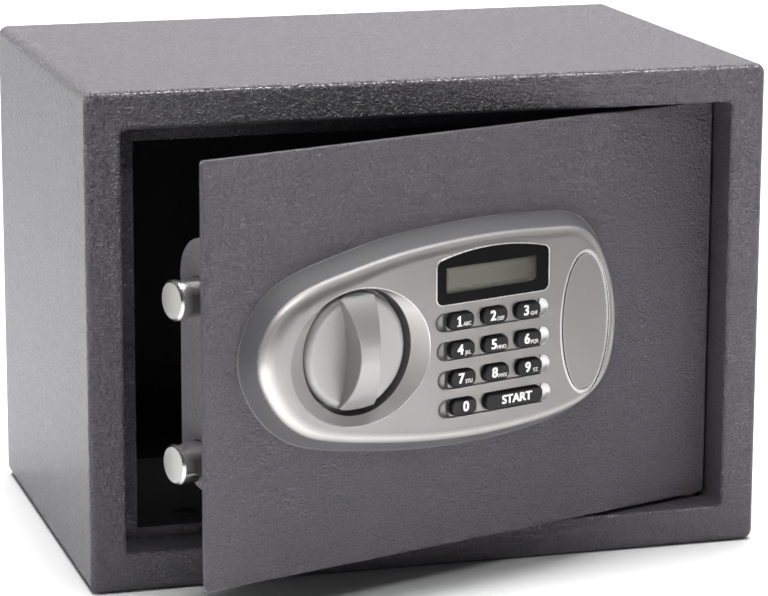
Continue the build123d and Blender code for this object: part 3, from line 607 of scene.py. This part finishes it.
def smooth_loop(points, k=8):
    """Catmull-Rom through a closed list of x, z points."""
    n = len(points)
    out = []
    for i in range(n):
        p0, p1, p2, p3 = (Vector(points[(i + j) % n]) for j in (-1, 0, 1, 2))
        for s_ in range(k):
            t = s_ / k
            out.append(0.5 * ((2 * p1) + (p2 - p0) * t + (2 * p0 - 5 * p1 + 4 * p2 - p3) * t * t + (3 * p1 - p0 - 3 * p2 + p3) * t ** 3))
    return [(p.x, p.y) for p in out]


M["edge_lip"] = satin("edge_lip", (0.21, 0.205, 0.21), rough=0.34, metallic=0.5)
bead("escutcheon_foot", [(x, -0.16, z) for x, z in smooth_loop(grown(FACE_PTS, 5.02))], 0.26, "edge_lip", "door")

# bright rim of the dish, a bead whose pale colour is a painted highlight, strongest on its far side
DX_, DZ_, DA_, DB_ = -72.8, 127.6, 40.2, 33.4
rim_pts = [(DX_ + (DA_ + 0.1) * math.cos(a_), -ESC_H + 0.20, DZ_ + (DB_ + 0.1) * math.sin(a_)) for a_ in (math.radians(110 - 235 * i / 90) for i in range(91))]
bead("dish_rim", rim_pts, 0.30, "edge_highlight_bright", "door", closed=False, taper=lambda t: 0.15 + 0.85 * math.sin(math.pi * t) ** 0.5)



def nibs(name, path, count, seed, r0, r1, mat):
    """Tiny raised beads of paint scattered along a path of (x, y, z, nx, ny, nz) points in mm."""
    rnd = random.Random(seed)
    bm = bmesh.new()
    seg = len(path) - 1
    for _ in range(count):
        t = rnd.random() * seg
        i = min(int(t), seg - 1)
        f = t - i
        p = [path[i][k] * (1 - f) + path[i + 1][k] * f for k in range(6)]
        n_ = Vector(p[3:6]).normalized()
        along = Vector((path[i + 1][0] - path[i][0], path[i + 1][1] - path[i][1], path[i + 1][2] - path[i][2])).normalized()
        across = n_.cross(along).normalized()
        r = r0 + (r1 - r0) * rnd.random() ** 2
        c = Vector(p[0:3]) + across * rnd.uniform(-0.22, 0.22) - n_ * r * 0.12
        long_ = r * rnd.uniform(1.1, 2.6)
        m = Matrix((along * long_, across * r, n_ * r * 0.26)).transposed().to_4x4()
        m.translation = c
        ret = bmesh.ops.create_icosphere(bm, subdivisions=1, radius=0.001, matrix=Matrix.Diagonal((1, 1, 1, 1)))
        for v in ret["verts"]:
            v.co = (m.to_3x3() @ (v.co * 1000.0) + c) / 1000.0
    for f_ in bm.faces:
        f_.smooth = True
    return add_mesh(name, bm, mat, "case", smooth=True)


def bend_path(points, n_, k=1):
    return [tuple(p) + tuple(n_) for p in points]


# painted highlight: the nibs are pale and metallic so they glint far brighter than the dark paint they sit on
M["glint_nib"] = powder_coat("glint_nib", (0.62, 0.61, 0.63), rough=0.22, peel=0.05, coat=1.0)
M["glint_nib"].node_tree.nodes["Principled BSDF"].inputs["Metallic"].default_value = 0.6
M["glint_nib"].node_tree.nodes["Principled BSDF"].inputs["Coat Roughness"].default_value = 0.05
_f = math.radians(32)
nibs("bend_nibs_top", bend_path([(x, -112 - 3.0 * math.cos(_f), 247 + 3.0 * math.sin(_f)) for x in (-171, -60, 60, 171)], (0, -math.cos(_f), math.sin(_f))),
     760, 11, 0.14, 0.34, "glint_nib")




_g = math.radians(34)
nibs("bend_nibs_sill", bend_path([(x, -113.1 - 1.9 * math.cos(_g), 17.6 + 1.9 * math.sin(_g)) for x in (72, 100, 128, 154)], (0, -math.cos(_g), math.sin(_g))),
     150, 23, 0.12, 0.26, "glint_nib")

# scooped ends of the key grooves: pale at the right ends as a painted highlight, dark at the left ends as a painted
# shade
M["scoop"] = satin("scoop", (0.52, 0.515, 0.51), rough=0.34, metallic=0.6)
M["scoop_shade"] = satin("scoop_shade", (0.15, 0.145, 0.14), rough=0.34, metallic=0.7)
GW, GH, GD = 69.0, 9.8, 1.2


def scoop(name, gx, gz, x_from, side_=1, mat="scoop"):
    """Concave liner at the right end of a key groove (the left end when side_ is -1): rises from the groove floor to
    the face. Its pale finish is a painted highlight; the dark one is a painted shade.
    """
    bm = bmesh.new()
    r_ = GH / 2 - 0.12
    cxr = gx - 0.9 + side_ * (GW / 2 - GH / 2)
    na, nr = 20, 8
    rows_ = []
    for j in range(nr + 1):
        q = j / nr
        rad = r_ * (0.30 + 0.70 * q)
        depth = (GD - 0.04) * (1 - (q ** 2.2)) + 0.03
        rows_.append([(cxr + side_ * rad * math.cos(math.radians(-90 + 180 * i / na)), -ESC_H + depth, gz + rad * math.sin(math.radians(-90 + 180 * i / na))) for i in range(na + 1)])
    vs = [[bm.verts.new(dm(*p)) for p in row] for row in rows_]
    for j in range(nr):
        for i in range(na):
            bm.faces.new((vs[j][i], vs[j + 1][i], vs[j + 1][i + 1], vs[j][i + 1]))
    # straight flanks back to the last key
    for side in (0, na):
        prev = [vs[j][side] for j in range(nr + 1)]
        nxt = []
        for j in range(nr + 1):
            x_, v_, z_ = rows_[j][side]
            nxt.append(bm.verts.new(dm(x_from, v_, z_)))
        for j in range(nr):
            f = (prev[j], prev[j + 1], nxt[j + 1], nxt[j])
            bm.faces.new(f if side == 0 else f[::-1])
    # floor between the inner arc and the key
    x_, v_, z_ = rows_[0][0]
    inner = [vs[0][i] for i in range(na + 1)]
    bl = bm.verts.new(dm(x_from, v_, rows_[0][0][2]))
    tl = bm.verts.new(dm(x_from, v_, rows_[0][na][2]))
    bm.faces.new([bl] + inner + [tl])
    bmesh.ops.remove_doubles(bm, verts=bm.verts, dist=1e-6)
    bmesh.ops.recalc_face_normals(bm, faces=bm.faces)
    n_out = dm(0, -1, 0) - dm(0, 0, 0)
    if sum((f.normal.dot(n_out) for f in bm.faces)) < 0:
        bmesh.ops.reverse_faces(bm, faces=bm.faces)
    r = bmesh.ops.extrude_face_region(bm, geom=list(bm.faces))
    back_ = dm(0, 0, 0) - dm(0, -0.03, 0)
    bmesh.ops.translate(bm, verts=[g for g in r["geom"] if isinstance(g, bmesh.types.BMVert)], vec=back_ * 0.5)
    return add_mesh(name, bm, mat, "door", smooth=True)


for r_i in range(4):
    last = {0: "3", 1: "6", 2: "9", 3: "START"}[r_i]
    kx, kz = key_at[last]
    half = 17.6 if last == "START" else 7.5
    scoop("groove_end_%d" % (r_i + 1), K1X + DX + r_i * SL, K1Z - r_i * DZ, kx + half + 0.35)
    scoop("groove_start_%d" % (r_i + 1), K1X + DX + r_i * SL, K1Z - r_i * DZ, K1X + r_i * SL - 7.85, -1, "scoop_shade")

# display window: a smoked pane sunk in a printed frame, lighter to the left, with a painted shadow along its foot
mt, nt, bs = new_mat("lcd_window")
co = nt.nodes.new("ShaderNodeTexCoord").outputs["UV"]
sepu = nt.nodes.new("ShaderNodeSeparateXYZ")
nt.links.new(co, sepu.inputs[0])
u_in, v_in = sepu.outputs["X"], sepu.outputs["Y"]
wob = noise(nt, co, 3.0, 2.0, 0.5)
uw = math_node(nt, "ADD", u_in, maprange(nt, wob.outputs["Fac"], 0.3, 0.7, -0.03, 0.03))
grad = ramp(nt, uw, [(0.0, (0.100, 0.098, 0.086)), (0.35, (0.098, 0.096, 0.082)), (0.62, (0.088, 0.085, 0.071)), (0.86, (0.062, 0.060, 0.050)), (1.0, (0.020, 0.019, 0.017))])
# painted shadow darkening the bottom of the window
bottom_shadow = maprange(nt, math_node(nt, "ADD", v_in, maprange(nt, noise(nt, co, 9.0, 3.0, 0.6).outputs["Fac"], 0.3, 0.7, -0.05, 0.05)), 0.04, 0.22, 0.25, 1.0)
colw = mix_col(nt, bottom_shadow, (0.006, 0.006, 0.006), grad)
nt.links.new(colw, bs.inputs["Base Color"])
bs.inputs["Roughness"].default_value = 0.12
bs.inputs["Specular IOR Level"].default_value = 0.12
M["lcd_window"] = mt

bm = bmesh.new()
WX0, WX1, WZ0, WZ1 = -23.3, 31.3, 152.4, 165.0
uvl = bm.loops.layers.uv.new("uv")
NX, NZ = 24, 8
grid = [[bm.verts.new(dm(WX0 + (WX1 - WX0) * i / NX, -ESC_H - 0.24 - 0.03 * math.sin(math.pi * j / NZ), WZ0 + (WZ1 - WZ0) * j / NZ)) for i in range(NX + 1)] for j in range(NZ + 1)]
for j in range(NZ):
    for i in range(NX):
        f = bm.faces.new((grid[j][i], grid[j][i + 1], grid[j + 1][i + 1], grid[j + 1][i]))
        for lp, (a_, b_) in zip(f.loops, ((i, j), (i + 1, j), (i + 1, j + 1), (i, j + 1))):
            lp[uvl].uv = (a_ / NX, b_ / NZ)
edge = [e for e in bm.edges if e.is_boundary]
r = bmesh.ops.extrude_edge_only(bm, edges=edge)
back_shift = dm(0, 0, 0) - dm(0, -0.06, 0)
bmesh.ops.translate(bm, verts=[g for g in r["geom"] if isinstance(g, bmesh.types.BMVert)], vec=back_shift)
add_mesh("display_window", bm, "lcd_window", "door", smooth=True)

# ------------------------------------------------------------------ stage and light
bpy.ops.mesh.primitive_plane_add(size=12, location=(0, 0, -0.0003))
floor = bpy.context.object
floor.name = "studio_floor"
floor.data.materials.append(M["floor"])

w = bpy.data.worlds.new("studio")
sc.world = w
w.use_nodes = True
wn = w.node_tree
bg = wn.nodes["Background"]
tc = wn.nodes.new("ShaderNodeTexCoord")
sep = wn.nodes.new("ShaderNodeSeparateXYZ")
wn.links.new(tc.outputs["Generated"], sep.inputs[0])
far = maprange(wn, sep.outputs["Y"], -0.15, 0.35, 0.0, 1.0)
high = maprange(wn, sep.outputs["Z"], 0.32, 0.7, 0.0, 1.0)
col = mix_col(wn, far, (0.035, 0.035, 0.040), (0.66, 0.66, 0.66))
col = mix_col(wn, high, col, (0.12, 0.12, 0.12))
wn.links.new(col, bg.inputs["Color"])
bg.inputs["Strength"].default_value = 1.0


def area(name, loc, target, size, power, col=(1, 1, 1), size_y=None):
    ld = bpy.data.lights.new(name, "AREA")
    ld.energy = power
    ld.color = col
    ld.shape = "RECTANGLE"
    ld.size = size
    ld.size_y = size_y or size
    ob = bpy.data.objects.new(name, ld)
    sc.collection.objects.link(ob)
    ob.location = loc
    d = Vector(target) - Vector(loc)
    ob.rotation_euler = d.to_track_quat("-Z", "Y").to_euler()
    return ob


area("overhead", (0.0, 0.04, 1.5), (0.0, 0.04, 0.0), 1.2, 46.0, size_y=0.85)
area("rear_floor", (0.5, 2.5, 1.8), (0.5, 2.3, 0), 2.6, 72.0, size_y=1.6)
area("side_right", (1.45, -0.75, 0.20), (0.0, -0.12, 0.05), 0.9, 1.55, size_y=0.36)
area("floor_front", (0.12, -0.62, 0.6), (0.12, -0.53, 0.0), 0.5, 3.9, size_y=0.3)
bpy.data.objects["floor_front"].data.spread = math.radians(45)
area("side_left", (-2.2, 0.55, 0.8), (0, 0.1, 0.12), 1.4, 1.2)
area("front_high", (-0.05, -1.75, 1.95), (0, -0.1, 0.15), 1.6, 12.0, size_y=0.22)
